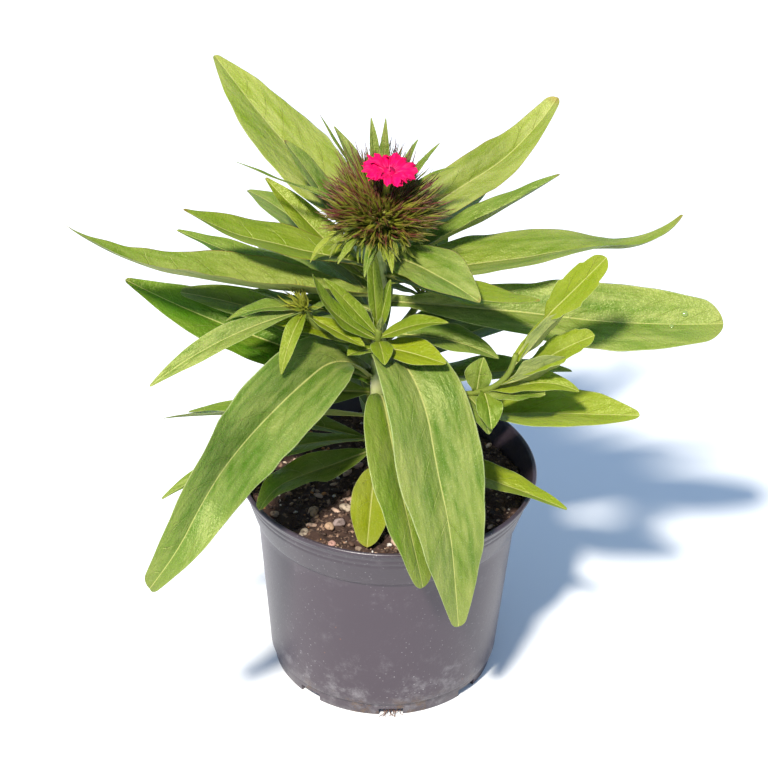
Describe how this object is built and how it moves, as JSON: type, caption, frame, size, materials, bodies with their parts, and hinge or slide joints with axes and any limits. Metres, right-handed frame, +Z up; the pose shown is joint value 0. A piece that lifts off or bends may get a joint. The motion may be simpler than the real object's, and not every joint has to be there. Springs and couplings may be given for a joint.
{
  "type": "potted sweet william",
  "caption": "Bedding flower in its nursery pot: long lance leaves round one stem, a bristly bud head and an open magenta flower.",
  "frame": {"origin": "centre of the pot's underside, on the surface that the pot stands on", "axes": "+Z up along the pot's axis, +X to the right and +Y away from the viewer of the plant's front, which has the two large leaves that hang over the rim"},
  "size_m": [0.2487, 0.2053, 0.2428],
  "materials": {
    "pot_plastic": "dark grey-purple moulded plastic, satin, with light dust",
    "potting_soil": "moist, crumbly dark brown potting mix with bark chips",
    "stem_green": "smooth pale green stem",
    "leaf_green": "semi-gloss leaf with a pale midrib and a thin purple-brown margin",
    "bud_brown": "olive-green awl-shaped buds and bracts with reddish-brown tips",
    "petal_magenta": "matt magenta petals with paler rays"
  },
  "bodies": {
    "root": {"back_shoot": "leaf_green", "bloom": "petal_magenta", "flower_head": "bud_brown", "front_shoot": "leaf_green", "leaf_back_high": "leaf_green", "leaf_back_high_right": "leaf_green", "leaf_back_left_pale": "leaf_green", "leaf_back_low": "leaf_green", "leaf_back_low_left": "leaf_green", "leaf_back_low_right": "leaf_green", "leaf_back_mid": "leaf_green", "leaf_back_mid_left": "leaf_green", "leaf_back_mid_right": "leaf_green", "leaf_back_right": "leaf_green", "leaf_back_rim": "leaf_green", "leaf_back_upper_left": "leaf_green", "leaf_behind_head_left": "leaf_green", "leaf_big_right": "leaf_green", "leaf_front_big": "leaf_green", "leaf_front_left_big": "leaf_green", "leaf_front_left_inner": "leaf_green", "leaf_front_right_lower": "leaf_green", "leaf_front_right_upper": "leaf_green", "leaf_front_second": "leaf_green", "leaf_left_edge_on": "leaf_green", "leaf_left_hidden": "leaf_green", "leaf_left_inner": "leaf_green", "leaf_left_low": "leaf_green", "leaf_left_rim_back": "leaf_green", "leaf_left_round": "leaf_green", "leaf_long_left": "leaf_green", "leaf_long_right": "leaf_green", "leaf_low_front_right": "leaf_green", "leaf_low_right": "leaf_green", "leaf_mid_left": "leaf_green", "leaf_right_crossing": "leaf_green", "leaf_right_drooping": "leaf_green", "leaf_right_folded": "leaf_green", "leaf_right_inner": "leaf_green", "leaf_right_mid": "leaf_green", "leaf_right_rim_back": "leaf_green", "leaf_rim_right": "leaf_green", "leaf_soil_left": "leaf_green", "leaf_soil_yellow": "leaf_green", "leaf_upper_left": "leaf_green", "leaf_upright_left": "leaf_green", "left_shoot": "leaf_green", "main_stem": "stem_green", "pot": "pot_plastic", "right_shoot": "leaf_green", "soil": "potting_soil"}
  },
  "joints": []
}
